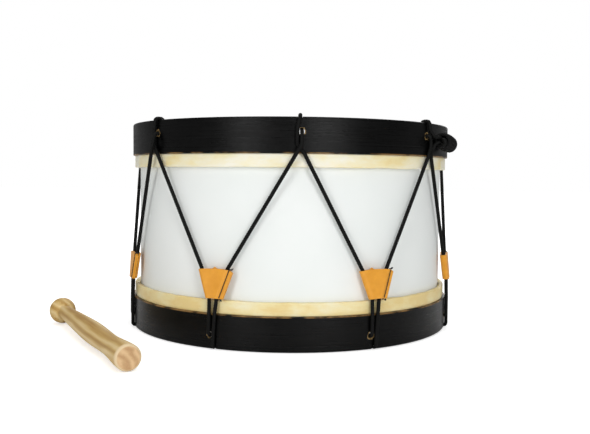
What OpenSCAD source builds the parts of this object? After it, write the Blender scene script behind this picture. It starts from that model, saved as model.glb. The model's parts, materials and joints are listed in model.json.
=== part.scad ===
// Rope-tensioned drum with two rawhide heads, and its turned wooden beater.
// Millimetres. The drum stands on its lower hoop: its axis is Z and the floor is z = 0.
// Seen from the front (-Y), angles round the drum grow to the right.

/* [Shell] */
// Outside diameter of the wooden shell
shell_d = 300; // [240:5:420]
// Thickness of the shell wall
shell_wall = 4; // [2:0.5:8]
// Length of the shell between its two bearing edges
shell_length = 160; // [120:5:320]
// Height of the reinforcing ring glued inside each end
ring_height = 20; // [8:1:40]
// Thickness of the reinforcing rings
ring_wall = 4; // [2:0.5:8]

/* [Heads] */
// Thickness of the rawhide
skin = 0.8; // [0.5:0.1:1.2]
// Height of the round wooden hoop that a skin is lapped on
flesh_height = 9.9; // [6:0.1:12]
// Radial thickness of that hoop
flesh_wall = 3.2; // [2:0.1:3.6]
// Distance from the bearing edge to the top of the lap
collar = 12.5; // [8:0.5:14]

/* [Counterhoops] */
// Height of each counterhoop
hoop_height = 30; // [26:1:45]
// Thickness of each counterhoop
hoop_wall = 4; // [3:0.5:6]
// Gap between the head's collar and the inside of the counterhoop
hoop_gap = 2.2; // [1.8:0.1:2.6]
// Diameter of the lacing holes
hole_d = 5.6; // [5.4:0.2:8]
// Distance from a counterhoop's outer rim to the middle of its holes
hole_inset = 12; // [10:0.5:16]
// Depth of the seats cut in the upper rim for the cord
seat_upper = 0.8; // [0.4:0.1:2]
// Depth of the seats cut in the lower rim, which take the whole cord
seat_lower = 3.8; // [3.8:0.1:5]

/* [Lacing] */
// Number of lacing points on each counterhoop
anchors = 7; // [6:1:9]
// Diameter of the braided cord
cord_d = 3.4; // [2.4:0.2:3.6]
// Angle from the front to the first upper lacing point
upper_turn = 2.6; // [-10:0.2:10]
// Angle by which the lower points sit off the middle of the upper ones
lower_turn = -0.8; // [-4:0.2:4]
// Angle by which the point where the cord is tied off is out of place
tie_turn = -2; // [-3:0.5:3]
// Angle by which the next upper point after it is out of place
next_turn = -5; // [-6:0.5:3]
// Angle by which the lower points on the two sides are set towards the front
side_turn = 3.5; // [0:0.5:4]

/* [Tugs] */
// Length of each leather tug along the cord
tug_length = 24; // [18:1:30]
// Height of a tug's middle above the lower counterhoop
tug_rise = 25.5; // [25:0.5:60]
// Height by which the tugs on the two sides are pushed up above the others
side_rise = 4.5; // [0:0.5:8]
// Half the cord spacing at the wide end of a tug
tug_spread = 11.8; // [9:0.2:14]
// Half the cord spacing at the narrow end of a tug
tug_pinch = 3.4; // [2.8:0.1:5]
// Thickness of the leather
leather = 1.4; // [1:0.1:1.8]
// Room between the cord and the leather
tug_room = 0.25; // [0.2:0.05:0.4]
// Angle by which a tug leans in towards the shell
tug_lean = 6.2; // [4:0.1:8]
// Diameter of the sewing thread
thread_d = 0.8; // [0.5:0.1:1.2]

/* [Beater] */
// Length from the middle of the ball to the flared end
beater_length = 213; // [150:1:260]
// Diameter of the ball
ball_d = 24.8; // [18:0.2:32]
// Diameter of the neck behind the ball
neck_d = 13.2; // [9:0.2:17]
// Diameter of the belly of the grip
grip_d = 19.2; // [14:0.2:24]
// Diameter of the waist of the grip
waist_d = 17.2; // [12:0.2:20]
// Diameter of the flared end
flare_d = 21; // [16:0.2:28]

/* [Hidden] */
$fn = 96;
shell_r = shell_d / 2;
lap_height = flesh_height + 2 * skin;
head_overhang = hoop_height - collar;
shell_z0 = head_overhang;
shell_z1 = shell_z0 + shell_length;
drum_height = shell_z1 + head_overhang;
tuck_r = shell_r + 0.15;
flesh_r0 = tuck_r + skin + 0.1;
flesh_r1 = flesh_r0 + flesh_wall;
lap_r = flesh_r1 + skin;
hoop_r0 = shell_r + skin + hoop_gap;
hoop_r1 = hoop_r0 + hoop_wall;
rim_edge = 1.5;
bearing_edge = 0.6;

cord_r = cord_d / 2;
lay = 0.25;
lay_out = hoop_r1 + cord_r + lay;
lay_in = hoop_r0 - cord_r - lay;
over_rim = drum_height - seat_upper + cord_r + lay;
under_rim = seat_lower - cord_r - lay;
hole_up = drum_height - hole_inset;
hole_low = hole_inset;
hoop_low_edge = drum_height - hoop_height;
pitch = 360 / anchors;
tie_k = 1;

// Sideways places of the cord at a lacing point, measured along the hoop
rim_u = 0.6;
hole_u = 1.9;
low_hole_u = -3.6;
low_rim_u = 0.3;
tie_hole_u = -4.5;
tie_rim_u = -3.2;
hole_slant = 0.8;
hole_drop = 0.4;

tug_mid_r = hoop_r1 + 0.1;
tug_flange = 3.4;
tug_wrap = cord_r + tug_room + leather;
tug_slope = (tug_spread - tug_pinch) / tug_length;
tug_pinched = 1.6;
tug_stitch = 3.4;
tug_forward = 0.9;
tug_shift = (tug_stitch + tug_flange - tug_wrap) / 2;
tug_cut_r = 120;
tug_top = tug_length / 2 + 0.8;
tug_low = -tug_length / 2 - 0.1;

hank_length = 32;
hank_core = 2.25;
hank_coil = hank_core + cord_d + 0.15;
hank_turns = 6;
hank_pitch = cord_d + 0.2;
hank_mid_r = hoop_r1 + hank_coil + cord_r + 0.3;
hank_z = drum_height - 17;
hank_az = upper_az(tie_k) + (4.5 + hank_length / 2) / hank_mid_r * 57.2958;
hank_droop = -8;

beater_az = 29.35;
beater_x = -(shell_r + 73);
beater_y = -35;

color_shell = [0.91, 0.93, 0.91];
color_wood = [0.78, 0.66, 0.47];
color_skin = [0.93, 0.88, 0.7];
color_black = [0.1, 0.1, 0.1];
color_cord = [0.05, 0.05, 0.05];
color_tug = [0.85, 0.58, 0.2];
color_pine = [0.87, 0.76, 0.55];

// ---- Places round the drum ----

function upper_az(k) = upper_turn + k * pitch
    + (k % anchors == tie_k ? tie_turn : k % anchors == tie_k + 1 ? next_turn : 0);
// Which side a lower point is on: 1 on the right, -1 on the left, 0 elsewhere
function side(k) = k == 1 ? 1 : k == anchors - 2 ? -1 : 0;
function lower_az(k) = upper_turn + lower_turn + (k + 0.5) * pitch - side(k) * side_turn;
function tug_mid_z(k) = hoop_height + tug_rise + abs(side(k)) * side_rise;

// A point at angle az, u along the hoop from there, r from the axis and z up
function at(az, u, r, z) = [
    r * sin(az + u / hoop_r1 * 57.2958),
    -r * cos(az + u / hoop_r1 * 57.2958),
    z
];

// A point in the plane of tug k: u along the hoop and w up along the tug
function in_tug(k, u, w) = let (
    a = lower_az(k),
    r = tug_mid_r - w * sin(tug_lean)
) [
    u * cos(a) + r * sin(a),
    u * sin(a) - r * cos(a),
    tug_mid_z(k) + w * cos(tug_lean)
];

// ---- Cord as a tube swept along a route ----

function unit(v) = v / norm(v);

// A route is a list of [point, bend length]: each inner point becomes a short curve
function bend(a, p, b, d, steps = 3) = d == 0 ? [p] : [
    for (i = [0:steps]) let (
        t = i / steps,
        s = p + d * unit(a - p),
        e = p + d * unit(b - p)
    ) (1 - t) * (1 - t) * s + 2 * t * (1 - t) * p + t * t * e
];

function smooth(route) = concat(
    [route[0][0]],
    [
        for (i = [1:len(route) - 2])
        each bend(route[i - 1][0], route[i][0], route[i + 1][0], route[i][1])
    ],
    [route[len(route) - 1][0]]
);

function tangent(p, i) = unit(
    (i == 0 ? [0, 0, 0] : unit(p[i] - p[i - 1]))
    + (i == len(p) - 1 ? [0, 0, 0] : unit(p[i + 1] - p[i]))
);

function flatten_to(v, t) = unit(v - (v * t) * t);

function frames(p, i, n, done) = i == len(p) ? done : let (
    m = flatten_to(n, tangent(p, i))
) frames(p, i + 1, m, concat(done, [m]));

module tube(p, r, start, sides = 8) {
    n = frames(p, 0, start, []);
    rings = [
        for (i = [0:len(p) - 1]) let (
            t = tangent(p, i),
            b = cross(t, n[i])
        ) for (j = [0:sides - 1]) let (
            a = 360 * j / sides
        ) p[i] + r * (cos(a) * n[i] + sin(a) * b)
    ];
    walls = [
        for (i = [0:len(p) - 2]) for (j = [0:sides - 1]) let (
            a = i * sides + j,
            b = i * sides + (j + 1) % sides
        ) [a, a + sides, b + sides, b]
    ];
    caps = [
        [for (j = [0:sides - 1]) j],
        [for (j = [sides - 1:-1:0]) (len(p) - 1) * sides + j]
    ];
    polyhedron(rings, concat(walls, caps));
}

// ---- Shell and heads ----

module shell() {
    color(color_shell)
    rotate_extrude()
    polygon([
        [shell_r - shell_wall, shell_z0 + 1],
        [shell_r - shell_wall + 1, shell_z0],
        [shell_r - 0.8, shell_z0],
        [shell_r, shell_z0 + 0.8],
        [shell_r, shell_z1 - 0.8],
        [shell_r - 0.8, shell_z1],
        [shell_r - shell_wall + 1, shell_z1],
        [shell_r - shell_wall, shell_z1 - 1]
    ]);
}

module ring(z) {
    color(color_wood)
    rotate_extrude()
    translate([shell_r - shell_wall - ring_wall, z])
    square([ring_wall, ring_height]);
}

// The two ends are alike, so the lower ones are the upper ones turned over
module turned_over() {
    translate([0, 0, drum_height])
    mirror([0, 0, 1])
    children();
}

// One skin: across the bearing edge, down the collar, round the flesh hoop and
// tucked up between that hoop and the shell
module head() {
    top = shell_z1 + skin;
    lap = shell_z1 - collar;
    low = lap - lap_height;
    color(color_skin)
    rotate_extrude()
    polygon([
        [0, shell_z1],
        [shell_r - 0.8, shell_z1],
        [shell_r, shell_z1 - 0.8],
        [shell_r, lap - skin],
        [flesh_r1, lap - skin],
        [flesh_r1, low + skin],
        [flesh_r0, low + skin],
        [flesh_r0 - 0.1, low + 6],
        [tuck_r, low + 6],
        [tuck_r, low],
        [lap_r - 0.5, low],
        [lap_r, low + 0.5],
        [lap_r, lap - 0.5],
        [lap_r - 0.5, lap],
        [shell_r + skin, lap],
        [shell_r + skin, top - 1],
        [shell_r + skin - 1, top],
        [0, top]
    ]);
}

module flesh_hoop() {
    z0 = shell_z1 - collar - skin - flesh_height;
    color(color_wood)
    rotate_extrude()
    translate([flesh_r0, z0])
    square([flesh_wall, flesh_height]);
}

// ---- Counterhoops ----

// A bent wooden hoop with its outer rim up: the rim is well rounded, and the edge
// that bears on the lapped head is nearly square
module hoop_band(bearing_z) {
    rim_z = bearing_z + hoop_height;
    b = bearing_edge;
    e = rim_edge;
    rotate_extrude()
    polygon(concat(
        [for (a = [180:30:270]) [hoop_r0 + b + b * cos(a), bearing_z + b + b * sin(a)]],
        [for (a = [270:30:360]) [hoop_r1 - b + b * cos(a), bearing_z + b + b * sin(a)]],
        [for (a = [0:22.5:90]) [hoop_r1 - e + e * cos(a), rim_z - e + e * sin(a)]],
        [for (a = [90:22.5:180]) [hoop_r0 + e + e * cos(a), rim_z - e + e * sin(a)]]
    ));
}

module radial_hole(az, u, z) {
    rotate([0, 0, az + u / hoop_r1 * 57.2958])
    translate([0, -hoop_r0 + 8, z])
    rotate([90, 0, 0])
    cylinder(h = hoop_wall + 16, d = hole_d);
}

module rim_seat(az, u, z, width) {
    rotate([0, 0, az + u / hoop_r1 * 57.2958])
    translate([-width / 2, -hoop_r1 - 4, z])
    cube([width, hoop_wall + 8, 10]);
}

function hole_place(k) = k == tie_k ? tie_hole_u : hole_u;
function rim_place(k) = k == tie_k ? tie_rim_u : rim_u;

module counterhoop_upper() {
    color(color_black)
    difference() {
        hoop_band(hoop_low_edge);
        for (k = [0:anchors - 1]) {
            radial_hole(upper_az(k), hole_place(k), hole_up);
            rim_seat(upper_az(k), rim_place(k) + 0.15, drum_height - seat_upper, cord_d + 0.8);
        }
    }
}

module counterhoop_lower() {
    color(color_black)
    difference() {
        turned_over() hoop_band(hoop_low_edge);
        for (k = [0:anchors - 1]) {
            radial_hole(lower_az(k), low_hole_u, hole_low);
            rim_seat(lower_az(k), low_rim_u - 0.4, seat_lower - 10, cord_d + 1.1);
        }
    }
}

// ---- Lacing ----
// Cord k runs from inside the upper hoop at point k, over the rim, down through
// tug k to the lower hoop, and back up through the tug to point k + 1.

function through_the_hole(k) = at(upper_az(k), hole_place(k) + hole_slant, lay_in, hole_up - hole_drop);
function inside_the_hoop(k) =
    (through_the_hole(k) + at(upper_az(k), rim_place(k) + 0.3, lay_in, over_rim)) / 2;

function over_the_rim(k) = [
    [inside_the_hoop(k), 0],
    [at(upper_az(k), rim_u + 0.3, lay_in, over_rim), 3],
    [at(upper_az(k), rim_u, lay_out, over_rim), 3],
    [at(upper_az(k), -1.6, lay_out, hole_up + 2), 2],
    [at(upper_az(k), -1.6, lay_out, hoop_low_edge + 7.9), 2],
    [at(upper_az(k), 4.1, lay_out, hoop_low_edge - 0.3), 1]
];

// Where the cord is tied off, its first end comes out of the hank instead
function out_of_hank(k) = [
    [in_hank(hank_length / 2, 0), 0],
    [in_hank(-hank_length / 2 + 1, 0), 2.5],
    [at(upper_az(k), 3.4, lay_out + 0.8, hole_up - 8.5), 2.5],
    [at(upper_az(k), 0.6, lay_out, hoop_low_edge), 1.5]
];

function through_tug_and_back(k) = [
    [in_tug(k, -tug_spread, tug_length / 2), 1],
    [in_tug(k, -tug_pinch, -tug_length / 2), 1],
    [at(lower_az(k), -3.4, lay_out, hoop_height - 1), 2],
    [at(lower_az(k), low_hole_u, lay_out, hole_low), 2.6],
    [at(lower_az(k), low_hole_u, lay_in, hole_low), 2.6],
    [at(lower_az(k), low_rim_u - 0.8, lay_in, under_rim), 2.6],
    [at(lower_az(k), low_rim_u, lay_out, under_rim), 2.6],
    [at(lower_az(k), 0.8, lay_out, hole_low + 3), 2],
    [at(lower_az(k), 1.9, lay_out, hoop_height - 1), 2],
    [in_tug(k, tug_pinch, -tug_length / 2), 1],
    [in_tug(k, tug_spread, tug_length / 2), 1]
];

function into_the_hole(k) = [
    [at(upper_az(k), 1.95, lay_out + 3.9, hoop_low_edge + 7.6), 2.2],
    [at(upper_az(k), hole_u, lay_out + 1.4, hole_up), 2.6],
    [through_the_hole(k), 2.6],
    [inside_the_hoop(k), 0]
];

// The last run goes up to the tied-off point and in at its hole
function into_the_tie(k) = [
    [at(upper_az(k), -4.1, lay_out, hoop_low_edge), 1.5],
    [at(upper_az(k), 0.2, lay_out, hole_up - 9), 2.2],
    [at(upper_az(k), -0.6, lay_out + 0.4, hole_up - 4), 2.2],
    [at(upper_az(k), tie_hole_u, lay_out + 1.4, hole_up), 2.6],
    [through_the_hole(k), 2.6],
    [inside_the_hoop(k), 0]
];

module cord(k) {
    start = k == tie_k ? out_of_hank(k) : over_the_rim(k);
    finish = (k + 1) % anchors == tie_k ? into_the_tie(k + 1) : into_the_hole(k + 1);
    color(color_cord)
    tube(smooth(concat(start, through_tug_and_back(k), finish)), cord_r, [0.3, 0.2, 0.9]);
}

// The spare cord: out over the rim at the tied-off point, laid in three strands and
// bound with turns of its own end. s runs along the hank, a round it.
function on_hank(s, radius, a) = let (
    c = at(hank_az, 0, hank_mid_r, hank_z),
    along = unit([cos(hank_az), sin(hank_az), sin(hank_droop)]),
    out = flatten_to([sin(hank_az), -cos(hank_az), 0], along),
    up = cross(along, -out)
) c + s * along + radius * (sin(a) * out + cos(a) * up);

function in_hank(s, strand) = on_hank(s, hank_core, 210 + 120 * strand);

module cord_hank() {
    k = tie_k;
    half = hank_length / 2;
    coil_from = -hank_turns * hank_pitch / 2;
    turn_r = norm(in_hank(0, 1) - in_hank(0, 2)) / 2;
    tail = smooth([
        [inside_the_hoop(k), 0],
        [at(upper_az(k), tie_rim_u + 0.3, lay_in, over_rim), 3],
        [at(upper_az(k), tie_rim_u, lay_out, over_rim), 3],
        [at(upper_az(k), -2, lay_out, hole_up + 5), 2.5],
        [at(upper_az(k), 1.4, lay_out + 3.4, hole_up - 1), 2.5],
        [in_hank(-half + 1, 1), 2],
        [in_hank(half - 2, 1), 0]
    ]);
    // back along the hank round a half circle
    round_the_end = [
        for (a = [30:30:150])
        (in_hank(half - 2, 1) * (1 + cos(a)) + in_hank(half - 2, 2) * (1 - cos(a))) / 2
        + turn_r * sin(a) * (in_hank(1, 0) - in_hank(0, 0))
    ];
    // and out at the other end to where the binding turns begin
    out_to_the_turns = [
        in_hank(half - 2, 2),
        in_hank(coil_from - 1.5, 2),
        on_hank(coil_from - 3.6, 2.3, 90),
        on_hank(coil_from - 5.3, 3.3, 94),
        on_hank(coil_from - 5.8, 4.9, 104),
        on_hank(coil_from - 5.2, 6, 124),
        on_hank(coil_from - 3.9, 6.1, 152),
        on_hank(coil_from - 2.6, 6, 184),
        on_hank(coil_from - 1.3, 5.9, 217)
    ];
    // the turns swell a little in the middle, where they bind hardest
    turns = [
        for (i = [0:hank_turns * 12]) let (t = i / hank_turns / 12)
        on_hank((1 - 2 * t) * coil_from, hank_coil + 0.5 * sin(180 * t), 250 + 30 * i)
    ];
    color(color_cord)
    tube(concat(tail, round_the_end, out_to_the_turns, turns), cord_r, [0.3, 0.2, 0.9]);
}

// ---- Tugs ----

module in_tug_frame(k) {
    rotate([0, 0, lower_az(k)])
    translate([0, -tug_mid_r, tug_mid_z(k)])
    rotate([-tug_lean, 0, 0])
    children();
}

// A slice of the flat sleeve at height w: a hull of rounds of radius r on both cords
module sleeve_slice(w, r, seam) {
    half = tug_pinch + tug_slope * (w + tug_length / 2);
    translate([0, 0, w])
    linear_extrude(0.01)
    hull() {
        translate([-half, 0]) circle(r, $fn = 24);
        translate([half, 0]) circle(r, $fn = 24);
        if (seam) translate([half + tug_pinched, -tug_forward]) circle(leather, $fn = 24);
    }
}

module flange_slice(w) {
    half = tug_pinch + tug_slope * (w + tug_length / 2);
    translate([half + tug_pinched, -tug_forward - leather + 0.02, w])
    cube([tug_stitch - tug_pinched + tug_flange, 2 * leather - 0.04, 0.01]);
}

// One tug: a strip of leather folded round both cords and sewn along the right. Both
// its ends are cut along very slight arcs.
module tug(k) {
    top = tug_length / 2 + 3;
    low = -tug_length / 2 - 2;
    color(color_tug)
    in_tug_frame(k)
    difference() {
        intersection() {
            union() {
                hull() {
                    sleeve_slice(top, tug_wrap, true);
                    sleeve_slice(low, tug_wrap, true);
                }
                hull() {
                    flange_slice(top);
                    flange_slice(low);
                }
            }
            translate([tug_shift, 0, tug_top - tug_cut_r])
            rotate([90, 0, 0])
            cylinder(h = 20, r = tug_cut_r, center = true);
        }
        hull() {
            sleeve_slice(top + 1, cord_r + tug_room, false);
            sleeve_slice(low - 1, cord_r + tug_room, false);
        }
        translate([tug_shift, 0, tug_low - tug_cut_r])
        rotate([90, 0, 0])
        cylinder(h = 20, r = tug_cut_r, center = true);
    }
}

// Height of the arc that ends a tug, at distance u from the middle of the cords
function arc_at(u, z) = z - tug_cut_r + sqrt(tug_cut_r * tug_cut_r - (u - tug_shift) * (u - tug_shift));

// The thread's run down the front of the seam, over the ends and up the back
module tug_thread(k) {
    off = leather + thread_d / 2 + 0.04;
    seam_u = tug_pinch + tug_stitch;
    top = arc_at(seam_u + tug_slope * tug_length, tug_top) + thread_d / 2 + 0.1;
    low = arc_at(seam_u, tug_low) - thread_d / 2 - 0.1;
    function seam(w, side) = [
        seam_u + tug_slope * (w + tug_length / 2) + (side > 0 ? 0.7 : 0),
        side * off - tug_forward,
        w
    ];
    color(color_cord)
    in_tug_frame(k)
    tube(
        smooth([
            [seam(0, -1), 0],
            [seam(top, -1), 0.7],
            [seam(top, 1), 0.7],
            [seam(low, 1), 0.7],
            [seam(low, -1), 0.7],
            [seam(-0.9, -1), 0]
        ]),
        thread_d / 2,
        [1, 0.2, 0.1],
        6
    );
}

// ---- Beater ----

// Radius of the handle at distance s from the middle of the ball: a smooth curve
// through the neck, the belly, the waist and the flare
handle_keys = [
    [0, neck_d / 2 - 0.3],
    [0.08, neck_d / 2],
    [0.3, (neck_d + grip_d) / 4 + 0.2],
    [0.55, grip_d / 2],
    [0.78, waist_d / 2],
    [0.94, flare_d / 2 - 0.2],
    [1, flare_d / 2]
];

function key_slope(i) = (i <= 0 || i >= len(handle_keys) - 1) ? 0 :
    (handle_keys[i + 1][1] - handle_keys[i - 1][1]) / (handle_keys[i + 1][0] - handle_keys[i - 1][0]);

// Smooth cubic between two neighbouring keys
function between(i, t) = let (
    a = handle_keys[i],
    b = handle_keys[i + 1],
    w = b[0] - a[0]
) (2 * pow(t, 3) - 3 * pow(t, 2) + 1) * a[1]
    + (pow(t, 3) - 2 * pow(t, 2) + t) * w * key_slope(i)
    + (3 * pow(t, 2) - 2 * pow(t, 3)) * b[1]
    + (pow(t, 3) - pow(t, 2)) * w * key_slope(i + 1);

module beater_profile() {
    ball_r = ball_d / 2;
    meet = acos(neck_d / 2 / ball_r);
    round_r = 2.6;
    end = beater_length;
    start = ball_r * sin(meet);
    body = [
        for (i = [0:len(handle_keys) - 2]) for (t = [0, 0.25, 0.5, 0.75])
        let (s = (handle_keys[i][0] + t * (handle_keys[i + 1][0] - handle_keys[i][0])) * end)
        if (s > start + 2 && s < end - round_r) [between(i, t), s]
    ];
    polygon(concat(
        [for (i = [0:10]) let (a = -90 + (90 + meet) * i / 10) [ball_r * cos(a), ball_r * sin(a)]],
        body,
        [
            for (a = [0:22.5:90])
            [flare_d / 2 - round_r + round_r * cos(a), end - round_r + round_r * sin(a)]
        ],
        [[0, end]]
    ));
}

// It lies on the floor on its ball and its flared end
module beater() {
    tilt = asin((ball_d - flare_d) / 2 / (beater_length - 2.6));
    color(color_pine)
    translate([beater_x, beater_y, ball_d / 2])
    rotate([0, 0, beater_az])
    rotate([90 + tilt, 0, 0])
    rotate_extrude()
    beater_profile();
}

shell();
ring(shell_z1 - ring_height - 2);  // ring_upper
ring(shell_z0 + 2);  // ring_lower
head();  // head_upper
turned_over() head();  // head_lower
flesh_hoop();  // flesh_hoop_upper
turned_over() flesh_hoop();  // flesh_hoop_lower
counterhoop_upper();
counterhoop_lower();
for (k = [1:anchors]) {
    tug(k - 1);
    tug_thread(k - 1);
    cord(k - 1);
}
cord_hank();
beater();
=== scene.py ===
import json
from math import cos, degrees, exp, floor, pi, radians, sin, sqrt

import bpy
from mathutils import Matrix, Vector, noise

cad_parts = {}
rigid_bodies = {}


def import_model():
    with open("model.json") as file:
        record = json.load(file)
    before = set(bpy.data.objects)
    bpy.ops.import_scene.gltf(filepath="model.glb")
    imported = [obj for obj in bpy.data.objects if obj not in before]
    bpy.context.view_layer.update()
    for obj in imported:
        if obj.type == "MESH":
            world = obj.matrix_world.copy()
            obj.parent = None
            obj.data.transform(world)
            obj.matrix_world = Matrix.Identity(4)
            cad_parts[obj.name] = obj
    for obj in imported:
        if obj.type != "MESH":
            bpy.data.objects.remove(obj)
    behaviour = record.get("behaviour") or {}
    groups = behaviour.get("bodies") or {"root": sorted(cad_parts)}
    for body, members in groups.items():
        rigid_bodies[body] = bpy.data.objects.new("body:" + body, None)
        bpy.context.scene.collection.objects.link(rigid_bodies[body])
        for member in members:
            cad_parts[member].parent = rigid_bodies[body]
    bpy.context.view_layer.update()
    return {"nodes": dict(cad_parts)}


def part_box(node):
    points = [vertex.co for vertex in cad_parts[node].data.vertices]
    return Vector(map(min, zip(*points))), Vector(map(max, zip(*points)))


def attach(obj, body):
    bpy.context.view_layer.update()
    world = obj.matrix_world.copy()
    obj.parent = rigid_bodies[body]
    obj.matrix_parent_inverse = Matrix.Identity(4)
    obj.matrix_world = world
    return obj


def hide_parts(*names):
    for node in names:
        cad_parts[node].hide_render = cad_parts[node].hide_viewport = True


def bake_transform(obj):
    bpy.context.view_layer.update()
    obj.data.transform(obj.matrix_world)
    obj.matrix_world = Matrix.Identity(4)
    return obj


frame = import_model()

bpy.ops.object.select_all(action="DESELECT")

# ---- Camera, lights and floor ----
# A white photographer's sweep under soft light: two tall, narrow boxes in front streak
# the black hoops, and broad ones above and behind light the rest. The camera stands
# at the height of the drum's upper half, about three quarters of a metre in front.

bpy.context.scene.view_settings.view_transform = "Standard"

camera_place = (0, -0.776, 0.1465)
pan, tilt, roll = radians(-0.38), radians(86.9), radians(0.5)
camera_data = bpy.data.cameras.new("camera")
camera_data.lens = 46.2
camera_data.sensor_width = 36
camera = bpy.data.objects.new("camera", camera_data)
bpy.context.scene.collection.objects.link(camera)
look = Matrix.Rotation(pan, 4, "Z") @ Matrix.Rotation(tilt, 4, "X") @ Matrix.Rotation(roll, 4, "Z")
camera.matrix_world = Matrix.Translation(camera_place) @ look
bpy.context.scene.camera = camera


def soft_box(name, place, aim, width, height, watts):
    """A rectangular soft box at a place, turned to face a point."""
    data = bpy.data.lights.new(name, "AREA")
    data.shape = "RECTANGLE"
    data.size = width
    data.size_y = height
    data.energy = watts
    box = bpy.data.objects.new(name, data)
    bpy.context.scene.collection.objects.link(box)
    box.location = place
    box.rotation_euler = (Vector(aim) - Vector(place)).to_track_quat("-Z", "Y").to_euler()


drum_middle = (0, 0, 0.1)
soft_box("light_front_left", (-0.75, -1.35, 0.5), drum_middle, 0.3, 1.1, 6.8)
soft_box("light_front_right", (0.62, -1.5, 0.5), drum_middle, 0.42, 1.1, 9)
soft_box("light_top", (0, -0.1, 1.6), drum_middle, 1.6, 1.4, 12.5)
soft_box("light_back", (0.2, 1.7, 0.8), drum_middle, 1.6, 0.9, 10)

# the backdrop is white, and the room round it is dim
studio = bpy.data.worlds.new("studio")
studio.use_nodes = True
room = studio.node_tree.nodes["Background"]
backdrop = studio.node_tree.nodes.new("ShaderNodeBackground")
seen = studio.node_tree.nodes.new("ShaderNodeLightPath")
either = studio.node_tree.nodes.new("ShaderNodeMixShader")
for light, strength in ((room, 0.25), (backdrop, 1.0)):
    light.inputs["Color"].default_value = (1, 1, 1, 1)
    light.inputs["Strength"].default_value = strength
studio.node_tree.links.new(seen.outputs["Is Camera Ray"], either.inputs[0])
studio.node_tree.links.new(room.outputs[0], either.inputs[1])
studio.node_tree.links.new(backdrop.outputs[0], either.inputs[2])
world_end = studio.node_tree.nodes["World Output"]
studio.node_tree.links.new(either.outputs[0], world_end.inputs["Surface"])
bpy.context.scene.world = studio


def finish_for(name, **values):
    """A new material whose shader has these fixed values."""
    made = bpy.data.materials.new(name)
    made.use_nodes = True
    shader = made.node_tree.nodes["Principled BSDF"]
    for socket, value in values.items():
        shader.inputs[socket.replace("_", " ")].default_value = value
    return made


def add_node(made, kind, inputs=None, **settings):
    """A node in a material. An input is either a fixed value or another node's output."""
    node = made.node_tree.nodes.new("ShaderNode" + kind)
    for name, value in settings.items():
        setattr(node, name, value)
    for socket, value in (inputs or {}).items():
        if isinstance(value, bpy.types.NodeSocket):
            made.node_tree.links.new(value, node.inputs[socket])
        else:
            node.inputs[socket].default_value = value
    return node


def drive(made, socket, output):
    """The shader's own socket takes a node's output."""
    shader = made.node_tree.nodes["Principled BSDF"]
    made.node_tree.links.new(output, shader.inputs[socket])


def shades(made, factor, *stops):
    """Colours along a factor, each stop a place and a colour."""
    ramp = add_node(made, "ValToRGB", {"Fac": factor})
    for i, (place, colour) in enumerate(stops):
        stop = ramp.color_ramp.elements[i] if i < 2 else ramp.color_ramp.elements.new(place)
        stop.position = place
        stop.color = (*colour, 1)
    return ramp.outputs["Color"]


def number(made, operation, a, b=0.0):
    """One number worked out from two, such as their sum."""
    return add_node(made, "Math", {0: a, 1: b}, operation=operation).outputs["Value"]


def rescaled(made, value, low, high, new_low=0.0, new_high=1.0):
    """A number moved from one range to another, and held inside it."""
    ends = {"From Min": low, "From Max": high, "To Min": new_low, "To Max": new_high}
    return add_node(made, "MapRange", {"Value": value, **ends}).outputs["Result"]


def clouds(made, places, scale, detail=2.0, roughness=0.5, distortion=0.0):
    """Uneven tones from 0 to 1, finer where the scale is larger."""
    look = {"Scale": scale, "Detail": detail, "Roughness": roughness, "Distortion": distortion}
    return add_node(made, "TexNoise", {"Vector": places, **look}).outputs["Fac"]


sweep_paper = finish_for("sweep_paper", Roughness=0.9)
paper_places = add_node(sweep_paper, "TexCoord").outputs["Object"]
paper_tone = clouds(sweep_paper, paper_places, 3.0)
paper_white = shades(sweep_paper, paper_tone, (0, (0.93, 0.93, 0.93)), (1, (0.97, 0.97, 0.97)))
drive(sweep_paper, "Base Color", paper_white)
# to the camera the paper glows, more so further out, and it throws no light of its own
sweep_paper.node_tree.nodes["Principled BSDF"].inputs["Emission Color"].default_value = (1, 1, 1, 1)
paper_way = add_node(sweep_paper, "VectorMath", {0: paper_places}, operation="LENGTH").outputs["Value"]
paper_glow = rescaled(sweep_paper, paper_way, 0.4, 1.6, 0.55, 1.0)
paper_seen = add_node(sweep_paper, "LightPath").outputs["Is Camera Ray"]
drive(sweep_paper, "Emission Strength", number(sweep_paper, "MULTIPLY", paper_glow, paper_seen))
floor_size, floor_place = 14, (0, 0, -0.0004)
bpy.ops.mesh.primitive_grid_add(x_subdivisions=8, y_subdivisions=8, size=floor_size, location=floor_place)
sweep = bpy.context.active_object
sweep.name = "floor"
sweep.data.materials.append(sweep_paper)

# ---- Lacing cord ----
# One braided black cord laces both counterhoops together in seven V shapes. Each
# run goes from a hole in the upper hoop, over its rim, down through a leather tug,
# round the lower hoop and back up. It is cut in the tugs, where it can't be seen.

runs = 7
pitch = 360 / runs
tie = 1
upper_turn, lower_turn, tie_turn, next_turn, side_turn = 2.6, 1.8, -2, -5, 3.5
cord_r, lay_gap = 0.0017, 0.00025
hoop_r0, hoop_r1 = 0.153, 0.157
drum_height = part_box("counterhoop_upper")[1].z
hoop_low_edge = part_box("counterhoop_upper")[0].z
hoop_top_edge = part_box("counterhoop_lower")[1].z
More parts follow.
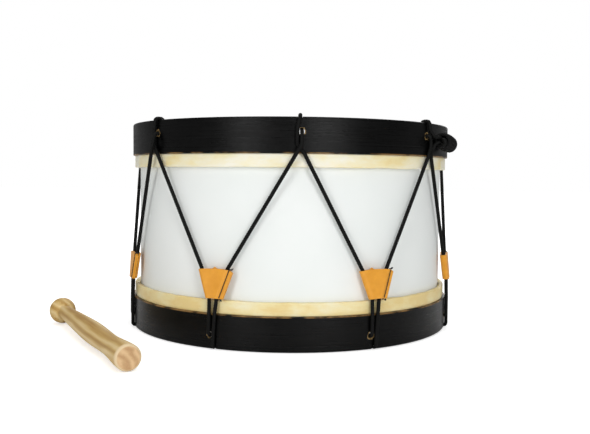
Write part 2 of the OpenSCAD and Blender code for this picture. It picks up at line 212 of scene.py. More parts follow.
# the cord lies in filed seats: shallow ones over the upper rim, deep ones under the lower
seat_upper, seat_lower, hole_inset = 0.0008, 0.0038, 0.012
lay_out = hoop_r1 + cord_r + lay_gap
lay_in = hoop_r0 - cord_r - lay_gap
over_rim = drum_height - seat_upper + cord_r + lay_gap
under_rim = seat_lower - cord_r - lay_gap
hole_up = drum_height - hole_inset
hole_low = hole_inset
hole_r, hole_u, tie_hole_u, low_hole_u = 0.0028, 0.0019, -0.0045, -0.0036
rim_u, tie_rim_u = 0.0006, -0.0032
tug_length, tug_spread, tug_pinch = 0.024, 0.0118, 0.0034
tug_rise, side_rise = 0.0255, 0.0045
tug_mid_r, tug_lean = hoop_r1 + 0.0001, radians(6.2)


def upper_az(k):
    """Angle from the front to the upper lacing point k, in degrees."""
    return upper_turn + k * pitch + {tie: tie_turn, tie + 1: next_turn}.get(k % runs, 0)


def side(k):
    """Which side a lower point is on: 1 on the right, -1 on the left, 0 elsewhere."""
    return {1: 1, runs - 2: -1}.get(k, 0)


def lower_az(k):
    """Angle from the front to the lower lacing point k and its tug."""
    return lower_turn + (k + 0.5) * pitch - side_turn * side(k)


def at(az, u, r, z):
    """A point u along the hoop from angle az, r from the drum's axis and z up."""
    a = radians(az) + u / hoop_r1
    return Vector((r * sin(a), -r * cos(a), z))


def in_tug(k, u, w, v=0.0):
    """A point in tug k's own frame: u along the hoop, w up the tug, v inwards."""
    a = radians(lower_az(k))
    r = tug_mid_r - w * sin(tug_lean) - v * cos(tug_lean)
    middle = hoop_top_edge + tug_rise + side_rise * abs(side(k))
    z = middle + w * cos(tug_lean) - v * sin(tug_lean)
    return Vector((u * cos(a) + r * sin(a), u * sin(a) - r * cos(a), z))


def through_the_hole(k):
    """Where the cord turns up behind its hole: it slants a little on its way in."""
    mouth = tie_hole_u if k % runs == tie else hole_u
    return at(upper_az(k), mouth + 0.0008, lay_in, hole_up - 0.0004)


def inside_the_hoop(k):
    """Where the end of one run meets the next, inside the upper hoop."""
    rim = tie_rim_u if k % runs == tie else rim_u
    return (through_the_hole(k) + at(upper_az(k), rim + 0.0003, lay_in, over_rim)) / 2


def smooth_route(route, steps=7):
    """Each inner point of the route becomes a short curve, its bend length long on both sides."""
    points = [route[0][0]]
    for (a, _), (p, d), (b, _) in zip(route, route[1:], route[2:]):
        start = p + d * (a - p).normalized()
        end = p + d * (b - p).normalized()
        for i in range(steps + 1):
            t = i / steps
            points.append((1 - t) ** 2 * start + 2 * t * (1 - t) * p + t * t * end)
    points.append(route[-1][0])
    return points


def even_steps(points, step):
    """The same route as points a step apart, with the distance to each."""
    travelled = [0.0]
    for a, b in zip(points, points[1:]):
        travelled.append(travelled[-1] + (b - a).length)
    count = max(2, round(travelled[-1] / step))
    made, i = [], 0
    for n in range(count + 1):
        s = travelled[-1] * n / count
        while i < len(points) - 2 and travelled[i + 1] < s:
            i += 1
        t = (s - travelled[i]) / max(travelled[i + 1] - travelled[i], 1e-9)
        made.append((points[i].lerp(points[i + 1], t), s))
    return made


def rope_of(name, routes, radius, step, sides, relief, per_turn=4, lay_length=0.009):
    """A mesh of round cords along routes. relief gives how far a braid's strands stand out."""
    verts, faces, marks = [], [], []
    for route in routes:
        line = even_steps(route, step)
        across = Vector((0.3, 0.2, 0.9))
        base = len(verts)
        for i, (p, s) in enumerate(line):
            along = (line[min(i + 1, len(line) - 1)][0] - line[max(i - 1, 0)][0]).normalized()
            across = (across - across.dot(along) * along).normalized()
            beside = along.cross(across)
            for j in range(sides):
                one = per_turn * (j / sides + s / lay_length)
                other = per_turn * (j / sides - s / lay_length)
                a, b = sin(pi * (one - floor(one))), sin(pi * (other - floor(other)))
                if (floor(one) + floor(other)) % 2:
                    a, b = b, a
                r = radius + relief * (a * (0.55 + 0.45 * b) - 1)
                turn = 2 * pi * j / sides
                verts.append(p + r * (cos(turn) * across + sin(turn) * beside))
        rings = len(line)
        for i in range(rings - 1):
            for j in range(sides):
                a, b = base + i * sides + j, base + i * sides + (j + 1) % sides
                faces.append((a, b, b + sides, a + sides))
                s0, s1 = line[i][1] / lay_length, line[i + 1][1] / lay_length
                for t, s in ((j / sides, s0), ((j + 1) / sides, s0), ((j + 1) / sides, s1), (j / sides, s1)):
                    marks.append((per_turn * (t + s), per_turn * (t - s)))
        for ring, order in ((0, range(sides - 1, -1, -1)), (rings - 1, range(sides))):
            faces.append(tuple(base + ring * sides + j for j in order))
            marks.extend([(0.5, 0.5)] * sides)
    mesh = bpy.data.meshes.new(name)
    mesh.from_pydata(verts, [], faces)
    strands = mesh.uv_layers.new(name="strands")
    strands.data.foreach_set("uv", [x for mark in marks for x in mark])
    mesh.shade_smooth()
    rope = bpy.data.objects.new(name, mesh)
    bpy.context.scene.collection.objects.link(rope)
    return rope


def mixed(made, share, a, b):
    """A blend of two numbers, with this share of the second."""
    return add_node(made, "Mix", {"Factor": share, "A": a, "B": b}).outputs["Result"]


def raise_bumps(made, height, strength, distance):
    """The surface stands up where the height is larger."""
    bump = add_node(made, "Bump", {"Height": height, "Strength": strength, "Distance": distance})
    drive(made, "Normal", bump.outputs["Normal"])


# Each strand of the braid is a bundle of fine threads, so lines run along it
braid = finish_for("black_braid", Roughness=0.6, Specular_IOR_Level=0.1)
braid_marks = add_node(braid, "UVMap", uv_map="strands").outputs["UV"]
thread_lines = {"Vector": braid_marks, "Scale": 1.6, "Distortion": 0.6}
threads_one = add_node(braid, "TexWave", thread_lines, bands_direction="X").outputs["Fac"]
threads_other = add_node(braid, "TexWave", thread_lines, bands_direction="Y").outputs["Fac"]
strand_side = add_node(braid, "TexChecker", {"Vector": braid_marks, "Scale": 1.0}).outputs["Fac"]
threads = mixed(braid, strand_side, threads_one, threads_other)
braid_black = shades(braid, threads, (0.0, (0.0015, 0.0015, 0.0015)), (0.8, (0.008, 0.008, 0.0076)))
drive(braid, "Base Color", braid_black)
raise_bumps(braid, threads, 0.5, 0.0001)


def braided(name, routes):
    """The black cord as a braid of four strands each way, which stand out a little."""
    rope = rope_of(name, routes, radius=0.00174, step=0.00045, sides=20, relief=0.00022)
    rope.data.materials.append(braid)
    return rope


def over_the_rim(k):
    """From inside the upper hoop over its rim and down to its lower edge."""
    az = upper_az(k)
    return [
        (inside_the_hoop(k), 0),
        (at(az, rim_u + 0.0003, lay_in, over_rim), 0.003),
        (at(az, rim_u, lay_out, over_rim), 0.003),
        (at(az, -0.0016, lay_out, hole_up + 0.002), 0.002),
        (at(az, -0.0016, lay_out, hoop_low_edge + 0.0079), 0.002),
        (at(az, 0.0041, lay_out, hoop_low_edge - 0.0003), 0.001),
    ]


def into_the_hole(k):
    """From the upper hoop's lower edge over the other run and in at the hole."""
    az = upper_az(k)
    return [
        (at(az, 0.00195, lay_out + 0.0039, hoop_low_edge + 0.0076), 0.0022),
        (at(az, hole_u, lay_out + 0.0014, hole_up), 0.0026),
        (through_the_hole(k), 0.0026),
        (inside_the_hoop(k), 0),
    ]


def into_the_tie(k):
    """The last run of all, up to the point where the cord is tied off."""
    az = upper_az(k)
    return [
        (at(az, -0.0041, lay_out, hoop_low_edge), 0.0015),
        (at(az, 0.0002, lay_out, hole_up - 0.009), 0.0022),
        (at(az, -0.0006, lay_out + 0.0004, hole_up - 0.004), 0.0022),
        (at(az, tie_hole_u, lay_out + 0.0014, hole_up), 0.0026),
        (through_the_hole(k), 0.0026),
        (inside_the_hoop(k), 0),
    ]


def round_the_lower_hoop(k):
    """Out of the tug, in at the lower hole, round under the rim and back up."""
    az = lower_az(k)
    return [
        (in_tug(k, -tug_pinch, -tug_length / 2), 0.001),
        (at(az, -0.0034, lay_out, hoop_top_edge - 0.001), 0.002),
        (at(az, low_hole_u, lay_out, hole_low), 0.0026),
        (at(az, low_hole_u, lay_in, hole_low), 0.0026),
        (at(az, -0.0005, lay_in, under_rim), 0.0026),
        (at(az, 0.0003, lay_out, under_rim), 0.0026),
        (at(az, 0.0008, lay_out, hole_low + 0.003), 0.002),
        (at(az, 0.0019, lay_out, hoop_top_edge - 0.001), 0.002),
        (in_tug(k, tug_pinch, -tug_length / 2), 0.001),
    ]


# The hank of spare cord lies beside the tie, from s = -half to half along its length
hank_half, hank_core, hank_turns = 0.016, 0.00225, 6
hank_tilt, hank_drop, hank_start = radians(-8), 0.017, 0.0045
hank_coil = hank_core + 2 * cord_r + 0.00015
hank_pitch = 2 * cord_r + 0.0002
hank_mid_r = hoop_r1 + hank_coil + cord_r + 0.0003
hank_az = upper_az(tie) + degrees((hank_start + hank_half) / hank_mid_r)


def on_hank(s, radius, turn):
    """A point s along the hank, off its middle line by radius at angle turn."""
    a = radians(hank_az)
    along = Vector((cos(a), sin(a), sin(hank_tilt))).normalized()
    out = Vector((sin(a), -cos(a), 0))
    out = (out - out.dot(along) * along).normalized()
    up = along.cross(-out)
    middle = at(hank_az, 0, hank_mid_r, drum_height - hank_drop)
    return middle + s * along + radius * (sin(radians(turn)) * out + cos(radians(turn)) * up)


def in_hank(s, strand):
    """A point on one of the three strands that the hank's turns bind."""
    return on_hank(s, hank_core, 210 + 120 * strand)


for k in range(runs):
    down = over_the_rim(k)
    if k == tie:
        down = [
            (in_hank(hank_half, 0), 0),
            (in_hank(-hank_half + 0.001, 0), 0.0025),
            (at(upper_az(k), 0.0034, lay_out + 0.0008, hole_up - 0.0085), 0.0025),
            (at(upper_az(k), 0.0006, lay_out, hoop_low_edge), 0.0015),
        ]
    up = into_the_tie(k + 1) if (k + 1) % runs == tie else into_the_hole(k + 1)
    left_top, right_top = in_tug(k, -tug_spread, tug_length / 2), in_tug(k, tug_spread, tug_length / 2)
    left_mid = (left_top + in_tug(k, -tug_pinch, -tug_length / 2)) / 2
    right_mid = (right_top + in_tug(k, tug_pinch, -tug_length / 2)) / 2
    upper = [
        smooth_route([*down, (left_top, 0.001), (left_mid, 0)]),
        smooth_route([(right_mid, 0), (right_top, 0.001), *up]),
    ]
    lower = [smooth_route([(left_mid, 0), *round_the_lower_hoop(k), (right_mid, 0)])]
    for part, routes, start_z, end_z in (("upper", upper, 0.160, 0.070), ("lower", lower, 0.014, 0.044)):
        rope = braided(f"lacing_{part}_{k + 1}", routes)
        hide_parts(f"cord_{k + 1}")
        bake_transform(rope)

# ---- Hank of spare cord ----
# The spare end comes out over the rim at the tie, is laid back and forth in three
# strands beside it, and is bound round with turns of itself.

tie_az = upper_az(tie)
tail = smooth_route([
    (inside_the_hoop(tie), 0),
    (at(tie_az, tie_rim_u + 0.0003, lay_in, over_rim), 0.003),
    (at(tie_az, tie_rim_u, lay_out, over_rim), 0.003),
    (at(tie_az, -0.002, lay_out, hole_up + 0.005), 0.0025),
    (at(tie_az, 0.0014, lay_out + 0.0034, hole_up - 0.001), 0.0025),
    (in_hank(-hank_half + 0.001, 1), 0.002),
    (in_hank(hank_half - 0.002, 1), 0),
])
one_side, other_side = in_hank(hank_half - 0.002, 1), in_hank(hank_half - 0.002, 2)
fold_r = (one_side - other_side).length / 2
hank_way = (in_hank(0.001, 0) - in_hank(0, 0)).normalized()
fold = [
    (one_side * (1 + cos(a)) + other_side * (1 - cos(a))) / 2 + fold_r * sin(a) * hank_way
    for a in map(radians, range(20, 161, 20))
]
coil_from = -hank_turns * hank_pitch / 2
out_to_the_turns = [other_side, in_hank(coil_from - 0.0015, 2)] + [
    on_hank(coil_from - back, radius, turn)
    for back, radius, turn in (
        (0.0036, 0.0023, 90), (0.0053, 0.0033, 94), (0.0058, 0.0049, 104), (0.0052, 0.006, 124),
        (0.0039, 0.0061, 152), (0.0026, 0.006, 184), (0.0013, 0.0059, 217),
    )
]
turns = [
    on_hank((1 - 2 * t) * coil_from, hank_coil + 0.0005 * sin(pi * t), 250 + 15 * i)
    for i in range(hank_turns * 24 + 1)
    for t in [i / hank_turns / 24]
]
hank = braided("hank", [tail + fold + out_to_the_turns + turns])
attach(hank, "drum")
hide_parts("cord_hank")

# ---- Shell ----
# A thin wooden cylinder faced with smooth white laminate that has only a slight gloss.
# The wood under it shows only as a very faint unevenness.

shell_gloss = {"Coat_Weight": 0.06, "Coat_Roughness": 0.3, "Specular_IOR_Level": 0.3}
shell_white = finish_for("shell_white", Roughness=0.55, **shell_gloss)
shell_places = add_node(shell_white, "TexCoord").outputs["Object"]
shell_tone = clouds(shell_white, shell_places, 14.0, 4.0)
shell_colour = shades(shell_white, shell_tone, (0.3, (0.80, 0.835, 0.815)), (0.7, (0.84, 0.865, 0.85)))
drive(shell_white, "Base Color", shell_colour)


def stretched(made, places, scale):
    """The places of a pattern that is finer one way than another."""
    return add_node(made, "Mapping", {"Vector": places, "Scale": scale}).outputs["Vector"]


shell_grain = clouds(shell_white, stretched(shell_white, shell_places, (90, 90, 6)), 1.0, 3.0)
raise_bumps(shell_white, shell_grain, 0.12, 0.0004)


def dress(node, material):
    """A CAD piece keeps its shape and takes a finish."""
    mesh = frame["nodes"][node].data
    mesh.materials.clear()
    mesh.materials.append(material)


dress("shell", shell_white)

# ---- Reinforcing rings and flesh hoops ----
# Plain bent strips of pale wood: one ring is glued inside each end of the shell, and
# each skin is lapped on a flesh hoop. They stay bare, and the finished drum hides them.

bare_wood = finish_for("bare_wood", Roughness=0.7)
wood_places = add_node(bare_wood, "TexCoord").outputs["Object"]
wood_grain = clouds(bare_wood, stretched(bare_wood, wood_places, (12, 12, 420)), 1.0, 6.0)
wood_colour = shades(bare_wood, wood_grain, (0.3, (0.42, 0.27, 0.13)), (0.7, (0.66, 0.49, 0.29)))
drive(bare_wood, "Base Color", wood_colour)
raise_bumps(bare_wood, wood_grain, 0.3, 0.0003)
for node in ("ring_upper", "ring_lower", "flesh_hoop_upper", "flesh_hoop_lower"):
    dress(node, bare_wood)

# ---- Rawhide heads ----
# Each head is one disc of rawhide, wetted, drawn over the bearing edge of the shell,
# lapped round its flesh hoop and tucked up behind it. It dries hard, cream with
# yellow blotches, and the lap stays a little puckered.

skin, worked_thin = 0.0008, 0.0007
shell_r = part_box("shell")[1].x
bearing_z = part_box("shell")[1].z
lap_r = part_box("flesh_hoop_upper")[1].x + skin
lap_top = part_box("flesh_hoop_upper")[1].z + skin
lap_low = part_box("flesh_hoop_upper")[0].z - skin

hide_glow = {"Subsurface_Weight": 0.12, "Subsurface_Scale": 0.002, "Subsurface_Radius": (1.0, 0.7, 0.35)}
rawhide = finish_for("rawhide", Roughness=0.5, Specular_IOR_Level=0.4, **hide_glow)
hide_places = add_node(rawhide, "TexCoord").outputs["Object"]
hide_height = add_node(rawhide, "SeparateXYZ", {"Vector": hide_places}).outputs["Z"]
# the lower skin is the yellower
hide_age = rescaled(rawhide, hide_height, 0.16, 0.04, -0.04, 0.165)
blotches = clouds(rawhide, stretched(rawhide, hide_places, (26, 26, 60)), 1.0, 4.0, 0.6)
hide_colour = shades(
    rawhide, number(rawhide, "ADD", blotches, hide_age),
    (0.36, (0.88, 0.84, 0.70)), (0.76, (0.79, 0.61, 0.27)),
    (0.50, (0.86, 0.78, 0.53)), (0.62, (0.84, 0.71, 0.38)),
)
drive(rawhide, "Base Color", hide_colour)
hide_pores = clouds(rawhide, hide_places, 900.0, 3.0)
hide_veins = clouds(rawhide, hide_places, 60.0, 6.0, distortion=1.2)
raise_bumps(rawhide, mixed(rawhide, 0.3, hide_veins, hide_pores), 0.35, 0.0005)


def select_rim():
    """In edit mode, only the open edge of the mesh is left selected."""
    bpy.ops.mesh.select_mode(type="EDGE")
    bpy.ops.mesh.select_all(action="DESELECT")
    bpy.ops.mesh.select_non_manifold(
        extend=False, use_wire=False, use_multi_face=False, use_non_contiguous=False, use_verts=False
    )


def draw_down(ways, r, z):
    """The selected rim is pulled out in steps, each to a new radius and height."""
    for r_next, z_next in ways:
        bpy.ops.mesh.extrude_region()
        bpy.ops.transform.resize(value=(r_next / r, r_next / r, 1), center_override=(0, 0, 0))
        bpy.ops.transform.translate(value=(0, 0, z_next - z))
        r, z = r_next, z_next


def round_corner(r, z, radius, a0, a1, steps=4):
    """Points on a quarter round, in the plane of radius and height."""
    angles = [radians(a0 + (a1 - a0) * i / steps) for i in range(steps + 1)]
    return [(r + radius * cos(a), z + radius * sin(a)) for a in angles]


flat_r = 0.1488
bearing_bend, neck_bend, lap_bend = 0.0013, 0.0008, 0.0009


def head_profile(top):
    """From the flat of the skin over the bearing edge, down the shell and round the lap."""
    neck_r = shell_r + skin
    ways = round_corner(neck_r - bearing_bend, top - bearing_bend, bearing_bend, 80, 0)
    ways += [(neck_r, top - 0.004), (neck_r, top - 0.008), (neck_r, lap_top + 0.0006)]
    ways += round_corner(neck_r + neck_bend, lap_top + neck_bend, neck_bend, 200, 260, 2)
    ways += [(neck_r + 0.002, lap_top)]
    ways += round_corner(lap_r - lap_bend, lap_top - lap_bend, lap_bend, 90, 0)
    ways += [(lap_r, lap_top + (lap_low - lap_top) * t) for t in (0.25, 0.4, 0.55, 0.7, 0.82)]
    ways += round_corner(lap_r - lap_bend, lap_low + lap_bend, lap_bend, 0, -90)
    ways += [(lap_r - 0.002, lap_low), (shell_r + 0.0011, lap_low)]
    return ways + [(shell_r + 0.0004, lap_low + 0.0006)]


def pucker(head, top, seed):
    """The skin is never quite flat, and its lap is puckered where it was gathered."""
    for v in head.data.vertices:
        x, y, z = v.co
        r = sqrt(x * x + y * y)
        out = Vector((x / r, y / r, 0)) if r > 1e-6 else Vector((0, 0, 0))
        if z < top - 0.006:
            low = min(1, (top - 0.006 - z) / 0.004)
            gather = noise.noise(Vector((x * 170, y * 170, z * 30)) + seed)
            wave = noise.noise(Vector((x * 45, y * 45, 2.0)) + seed)
            v.co += out * (0.00022 * gather + 0.00018 * wave) * low
            if z < lap_low + 0.004:
                v.co.z += (0.0005 * wave + 0.0003 * gather) * min(1, (lap_low + 0.004 - z) / 0.003)
        elif r < 0.148:
            v.co.z += 0.00012 * noise.noise(Vector((x * 35, y * 35, 0)) + seed)


def turn_faces_out():
    """In edit mode, every face of the mesh points outwards."""
    bpy.ops.mesh.select_all(action="SELECT")
    bpy.ops.mesh.normals_make_consistent(inside=False)


def make_head(name, upside_down):
    """One skin, drawn over the shell and lapped, with its outer face as the mesh's face."""
    top = bearing_z + skin
    bpy.ops.object.select_all(action="DESELECT")
    bpy.ops.mesh.primitive_circle_add(vertices=288, radius=flat_r, fill_type="NGON", location=(0, 0, top))
    head = bpy.context.active_object
    head.name = head.data.name = name
    bpy.ops.object.transform_apply(location=True, rotation=False, scale=False)
    bpy.ops.object.mode_set(mode="EDIT")
    for ring in (0.008, 0.02, 0.03, 0.03, 0.03, 0.02):
        bpy.ops.mesh.inset(thickness=ring, depth=0)
    bpy.ops.mesh.poke()
    select_rim()
    draw_down(head_profile(top), flat_r, top)
    turn_faces_out()
    bpy.ops.object.mode_set(mode="OBJECT")
    pucker(head, top, Vector((7.3, 1.1, 4.2)) if upside_down else Vector((0, 0, 0)))
    thick = head.modifiers.new("rawhide thickness", "SOLIDIFY")
    thick.thickness = worked_thin
    thick.offset = -1
    bpy.ops.object.modifier_apply(modifier=thick.name)
    if upside_down:
        middle = (0, 0, drum_height / 2)
        bpy.ops.transform.mirror(constraint_axis=(False, False, True), center_override=middle)
        bpy.ops.object.transform_apply(location=True, rotation=True, scale=True)
        bpy.ops.object.mode_set(mode="EDIT")
        turn_faces_out()
        bpy.ops.object.mode_set(mode="OBJECT")
    bpy.ops.object.shade_smooth_by_angle(angle=radians(50))
    head.data.materials.append(rawhide)
    return head


for name, node, upside_down in (("skin_upper", "head_upper", False), ("skin_lower", "head_lower", True)):
    head = make_head(name, upside_down)
    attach(head, "drum")
    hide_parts(node)

# ---- Counterhoops ----
# Broad bent-wood hoops that press on the lapped heads when the cord is tight. They are
# brushed with black paint, which shows its strokes and has worn brown along the bearing
# edge. The holes were drilled afterwards, so bare wood shows in and round them.

black_wood = finish_for("black_wood", Specular_IOR_Level=0.13)
hoop_looks = add_node(black_wood, "TexCoord")
hoop_places = hoop_looks.outputs["Object"]
hoop_xyz = add_node(black_wood, "SeparateXYZ", {"Vector": hoop_places})
strokes = clouds(black_wood, stretched(black_wood, hoop_places, (16, 16, 900)), 1.0, 5.0, 0.65)
stroke_tone = mixed(black_wood, 0.4, strokes, clouds(black_wood, hoop_places, 40.0, 7.0, 0.72))
paint = shades(black_wood, stroke_tone, (0.35, (0.0004, 0.0004, 0.0004)), (0.68, (0.0022, 0.0023, 0.0023)))


def from_level(level):
    """How far the hoop's surface is above or below a level."""
    return number(black_wood, "ABSOLUTE", number(black_wood, "SUBTRACT", hoop_xyz.outputs["Z"], level))


def laid_over(made, share, under, over):
    """A blend of two colours, with this share of the second."""
    colours = {"Factor": share, "A": under, "B": over}
    return add_node(made, "Mix", colours, data_type="RGBA").outputs["Result"]


# worn on the bearing edges, and not at all 1.2 mm away from them
edge_way = number(black_wood, "MINIMUM", from_level(hoop_low_edge), from_level(hoop_top_edge))
edge_near = rescaled(black_wood, edge_way, 0.0012, 0.0005)
wear_spots = rescaled(black_wood, clouds(black_wood, hoop_places, 70.0, 5.0), 0.4, 0.55)
worn = number(black_wood, "MULTIPLY", edge_near, wear_spots)
# the walls of the holes, whose faces turn away from the drum's axis
hoop_flat = {"X": hoop_xyz.outputs["X"], "Y": hoop_xyz.outputs["Y"], "Z": 0.0}
hoop_out = add_node(black_wood, "CombineXYZ", hoop_flat).outputs["Vector"]
hoop_way = add_node(black_wood, "VectorMath", {0: hoop_out}, operation="NORMALIZE").outputs["Vector"]
ways = {0: hoop_way, 1: hoop_looks.outputs["Normal"]}
facing = add_node(black_wood, "VectorMath", ways, operation="DOT_PRODUCT").outputs["Value"]
side_on = number(black_wood, "LESS_THAN", number(black_wood, "ABSOLUTE", facing), 0.4)
mouths = [at(upper_az(k), tie_hole_u if k == tie else hole_u, hoop_r1, hole_up) for k in range(runs)]
mouths += [at(lower_az(k), low_hole_u, hoop_r1, hole_low) for k in range(runs)]
from_hole = 1.0
for mouth in mouths:
    ends = {0: hoop_places, 1: mouth}
    way = add_node(black_wood, "VectorMath", ends, operation="DISTANCE").outputs["Value"]
    from_hole = number(black_wood, "MINIMUM", from_hole, way)
through_wall = 0.0052
in_hole = number(black_wood, "LESS_THAN", from_hole, through_wall)
hole_wall = number(black_wood, "MULTIPLY", side_on, in_hole)
# and where the drill chipped the paint round them
chip_noise = clouds(black_wood, hoop_places, 500.0, 2.0)
chip_way = rescaled(black_wood, chip_noise, 0.3, 0.7, hole_r, hole_r + 0.0012)
chipped = number(black_wood, "LESS_THAN", from_hole, chip_way)
drilled = number(black_wood, "MAXIMUM", hole_wall, chipped)
worn_brown, drilled_brown = (0.26, 0.15, 0.055, 1), (0.30, 0.20, 0.085, 1)
rubbed = laid_over(black_wood, worn, paint, worn_brown)
drive(black_wood, "Base Color", laid_over(black_wood, drilled, rubbed, drilled_brown))
drive(black_wood, "Roughness", rescaled(black_wood, stroke_tone, 0.3, 0.7, 0.2, 0.42))
raise_bumps(black_wood, stroke_tone, 0.8, 0.0005)
for node in ("counterhoop_upper", "counterhoop_lower"):
    dress(node, black_wood)

# ---- Leather tugs ----
# A tug is a tapering strip of tan leather, folded on the left round both strands of a
# V and sewn together on the right. Pushed up the V, it pinches them and tightens the
# skins.

leather, cord_room = 0.0014, 0.00025
wrap = cord_r + cord_room + leather / 2
stitch_u, flange, forward = 0.0034, 0.0034, 0.0009
tug_slope = (tug_spread - tug_pinch) / tug_length
tug_shift = (stitch_u + flange - wrap - leather / 2) / 2
tug_top, tug_low, cut_r = tug_length / 2 + 0.0008, -tug_length / 2 - 0.0001, 0.12


def arc_at(u, middle):
    """Height of the slightly arched cut that ends a tug."""
    return middle - cut_r + sqrt(cut_r * cut_r - (u - tug_shift) ** 2)


def fold_line(half):
    """The middle of the leather's thickness, from the front of the sewn edge to its back."""
    front, back = -forward - leather / 2, -forward + leather / 2
    end = half + stitch_u + flange
    line = [(end - flange * 0.85 * t / 5, front) for t in range(6)]
    line += [(half + stitch_u, front + 0.00012)]
    fall = (wrap + front) / 2
    line += [(half + stitch_u * (1 - t / 6), front - fall * (1 - cos(pi * t / 6))) for t in range(1, 6)]
    line += [(half - 2 * half * t / 20, -wrap + 0.0003 * sin(pi * t / 20)) for t in range(21)]
    line += [(-half - wrap * sin(pi * t / 14), -wrap * cos(pi * t / 14)) for t in range(1, 14)]
    line += [(-half + 2 * half * t / 24, wrap - 0.00015 * sin(pi * t / 24)) for t in range(25)]
    line += [(half + wrap * sin(pi * t / 14), wrap * cos(pi * t / 14)) for t in range(1, 6)]
    line += [(half + wrap + 0.0004, 0.0001)]
    line += [(end - flange * 0.85 * (1 - t / 5), back) for t in range(6)]
    return line


tan_leather = finish_for("tan_leather", Roughness=0.46, Specular_IOR_Level=0.4, Sheen_Weight=0.05)
tan_places = add_node(tan_leather, "TexCoord").outputs["Object"]
tan_cloud = clouds(tan_leather, tan_places, 120.0, 5.0, 0.6)
tan_colour = shades(tan_leather, tan_cloud, (0.3, (0.70, 0.29, 0.020)), (0.72, (0.80, 0.355, 0.030)))
drive(tan_leather, "Base Color", tan_colour)
pore_look = {"Vector": tan_places, "Scale": 1400.0}
tan_pores = add_node(tan_leather, "TexVoronoi", pore_look, distance="EUCLIDEAN").outputs["Distance"]
tan_creases = clouds(tan_leather, tan_places, 420.0, 4.0)
raise_bumps(tan_leather, mixed(tan_leather, 0.5, tan_pores, tan_creases), 0.35, 0.0002)

cut_leather = finish_for("cut_leather", Roughness=0.8)
cut_places = add_node(cut_leather, "TexCoord").outputs["Object"]
cut_fibre = clouds(cut_leather, cut_places, 1600.0, 4.0)
cut_colour = shades(cut_leather, cut_fibre, (0.3, (0.36, 0.17, 0.04)), (0.7, (0.62, 0.36, 0.12)))
drive(cut_leather, "Base Color", cut_colour)
raise_bumps(cut_leather, cut_fibre, 0.5, 0.0002)

columns, rows = len(fold_line(tug_pinch)), 15
pared, pared_edge = 0.00132, 0.00022
for k in range(runs):
    bpy.ops.object.select_all(action="DESELECT")
    bpy.ops.mesh.primitive_grid_add(x_subdivisions=columns - 1, y_subdivisions=rows - 1, size=1)
    tug = bpy.context.active_object
    tug.name = tug.data.name = f"tug_leather_{k + 1}"
    for v in tug.data.vertices:
        i = round((v.co.x + 0.5) * (columns - 1))
        t = round((v.co.y + 0.5) * (rows - 1)) / (rows - 1)
        w = (t - 0.5) * tug_length
        # the tug's width and the height of its cuts depend on each other, so both are refined
        for _ in range(3):
            half = tug_pinch + tug_slope * (w + tug_length / 2)
            u, depth = fold_line(half)[i]
            # behind, the cut leaves a small tip, and the sewn edge is cut back at the top
            tip = 0.0015 * exp(-(((u + 0.001) / 0.0013) ** 2)) if depth > 0.001 else 0
            back = 0.5 * max(0, u - half - stitch_u)
            low = arc_at(u, tug_low)
            w = low + (arc_at(u, tug_top) + tip - back - low) * t
        slack = 0.00012 * noise.noise(Vector((u * 160, w * 160, k * 3.7)))
        v.co = in_tug(k, u, w, depth + slack)
    thick = tug.modifiers.new("leather thickness", "SOLIDIFY")
    thick.thickness = pared
    thick.offset = 0
    thick.material_offset_rim = 1
    soft = tug.modifiers.new("pared edge", "BEVEL")
    soft.width = pared_edge
    soft.segments = 2
    soft.limit_method = "ANGLE"
    soft.angle_limit = radians(60)
    for modifier in list(tug.modifiers):
        bpy.ops.object.modifier_apply(modifier=modifier.name)
    bpy.ops.object.shade_smooth_by_angle(angle=radians(45))
    tug.data.materials.append(tan_leather)
    tug.data.materials.append(cut_leather)
    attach(tug, f"tug_slider_{k + 1}")
    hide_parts(f"tug_{k + 1}")

# ---- Tug stitching ----
# Each tug is sewn by hand with one black waxed thread in a running line of short
# stitches, knotted off past both ends of the seam.

waxed = finish_for("waxed_thread", Roughness=0.5, Specular_IOR_Level=0.4)
waxed_marks = add_node(waxed, "UVMap", uv_map="strands").outputs["UV"]
twist_lines = {"Vector": waxed_marks, "Scale": 0.5}
waxed_twist = add_node(waxed, "TexWave", twist_lines, bands_direction="X").outputs["Fac"]
waxed_black = shades(waxed, waxed_twist, (0.0, (0.004, 0.004, 0.005)), (1.0, (0.016, 0.015, 0.02)))
drive(waxed, "Base Color", waxed_black)
raise_bumps(waxed, waxed_twist, 0.5, 0.0001)

stitches, seam_steps = 8, 64


def seam(k, t, depth, aside=0.0):
    """A point on the seam of tug k, t from its lower to its upper end."""
    low = arc_at(tug_pinch + stitch_u, tug_low)
    top = arc_at(tug_spread + stitch_u, tug_top)
    w = low + (top - low) * t
    return in_tug(k, tug_pinch + stitch_u + tug_slope * (w + tug_length / 2) + aside, w, depth)


def knot(k, t, depth, aside, way):
    """Two small turns and a short tail, off the end of the seam of tug k."""
    made = []
    for i in range(17):
        turn = 2 * pi * i / 8
        beside = aside + 0.0008 * (i / 16 - 0.5)
        made.append(seam(k, t + way * (0.012 + 0.02 * cos(turn)), depth + 0.0005 * sin(turn), beside))
    made.append(seam(k, t + way * 0.045, depth - 0.0002, aside + 0.0009))
    return made


def stitch_lift(i):
    """How far the thread stands up between two holes of the running line, from 0 to 1."""
    return sqrt(abs(sin(pi * i * stitches / seam_steps)))


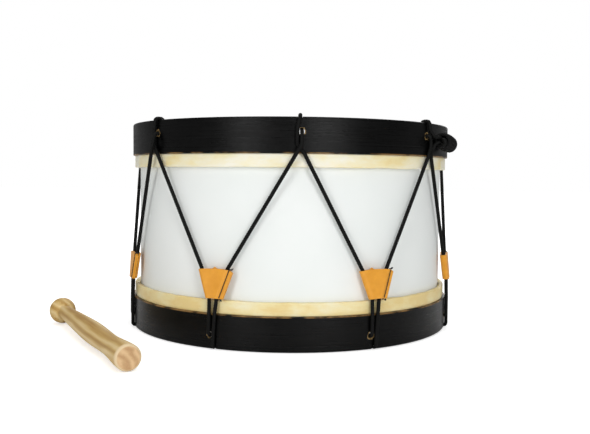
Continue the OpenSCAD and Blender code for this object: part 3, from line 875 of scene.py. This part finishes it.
front_skin, back_skin = -forward - leather, -forward + leather
along_seam = range(2, seam_steps - 1)
for k in range(runs):
    front = [seam(k, i / seam_steps, front_skin - 0.00045 * stitch_lift(i) + 0.0001) for i in along_seam]
    behind = [
        seam(k, i / seam_steps, back_skin + 0.0004 * stitch_lift(i) - 0.0001, 0.0004)
        for i in reversed(along_seam)
    ]
    over = [
        seam(k, 1.0, front_skin - 0.0002), seam(k, 1.02, front_skin),
        seam(k, 1.03, -forward), seam(k, 1.02, back_skin, 0.0003),
    ]
    under = [
        seam(k, 0.0, back_skin + 0.0001, 0.0003), seam(k, -0.02, back_skin, 0.0003),
        seam(k, -0.03, -forward), seam(k, -0.015, front_skin),
    ]
    routes = [
        [*front, *over, *behind, *under],
        knot(k, 1.02, -forward, 0.0017, 1),
        knot(k, -0.035, -forward - 0.0006, 0.0022, -1),
    ]
    thread = rope_of(
        f"stitching_{k + 1}", routes,
        radius=0.0004, step=0.00025, sides=8, relief=0.00005, per_turn=2, lay_length=0.0016,
    )
    thread.data.materials.append(waxed)
    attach(thread, f"tug_slider_{k + 1}")
    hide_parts(f"tug_thread_{k + 1}")
    tug = bpy.data.objects[f"tug_leather_{k + 1}"]

# ---- Beater ----
# Turned from one length of pale pine and left bare. The pith is off to one side, so
# the growth rings run along it in broad bands and cross the flared end as arcs.

pine = finish_for("turned_pine", Specular_IOR_Level=0.3)
pine_places = add_node(pine, "TexCoord").outputs["Object"]
beater_turn = Matrix.Rotation(radians(29.35), 4, "Z") @ Matrix.Rotation(radians(90.5), 4, "X")
turned_back = beater_turn.inverted()
ball_place, pith = Vector((-0.223, -0.035, 0.0124)), Vector((0.019, 0.012, 0))
own_frame = {"Location": pith - turned_back.to_3x3() @ ball_place, "Rotation": turned_back.to_euler()}
pine_frame = add_node(pine, "Mapping", {"Vector": pine_places, **own_frame}).outputs["Vector"]
pine_slow = stretched(pine, pine_frame, (1, 1, 0.16))
pine_wander = add_node(pine, "TexNoise", {"Vector": pine_slow, "Scale": 70.0, "Detail": 2.0})
wander = {0: pine_wander.outputs["Color"], "Scale": 0.011}
pine_push = add_node(pine, "VectorMath", wander, operation="SCALE").outputs["Vector"]
rings_at = add_node(pine, "VectorMath", {0: pine_slow, 1: pine_push}, operation="ADD").outputs["Vector"]
ring_look = {"Vector": rings_at, "Scale": 42.0, "Distortion": 0.0}
pine_rings = add_node(pine, "TexWave", ring_look, wave_type="RINGS", rings_direction="Z").outputs["Fac"]
pine_fibre = clouds(pine, stretched(pine, pine_frame, (900, 900, 30)), 1.0, 3.0)
pine_streak = clouds(pine, stretched(pine, pine_frame, (170, 170, 12)), 1.0, 4.0)
pine_tone = mixed(pine, 0.25, mixed(pine, 0.5, pine_rings, pine_streak), pine_fibre)
pine_side = shades(
    pine, pine_tone,
    (0.28, (0.70, 0.53, 0.27)), (0.72, (0.42, 0.24, 0.065)), (0.5, (0.58, 0.395, 0.145)),
)
# the end grain is pinker and darker than the side; its rounded edge is painted lighter all round, a painted
# highlight where the edge catches the light
pine_along = add_node(pine, "SeparateXYZ", {"Vector": pine_frame}).outputs["Z"]
edge_highlight_mask = rescaled(pine, pine_along, 0.2085, 0.2112)
on_face = rescaled(pine, pine_along, 0.2126, 0.2129)
# the lighter colour of the rounded edge is a painted highlight
painted_highlight_colour = (0.72, 0.56, 0.34, 1)
pine_face = shades(pine, pine_tone, (0.3, (0.70, 0.48, 0.26)), (0.72, (0.51, 0.30, 0.14)))
pine_colour = laid_over(pine, on_face, laid_over(pine, edge_highlight_mask, pine_side, painted_highlight_colour), pine_face)
drive(pine, "Base Color", pine_colour)
drive(pine, "Roughness", rescaled(pine, pine_tone, 0.0, 1.0, 0.6, 0.48))
raise_bumps(pine, pine_tone, 0.25, 0.0003)
dress("beater", pine)
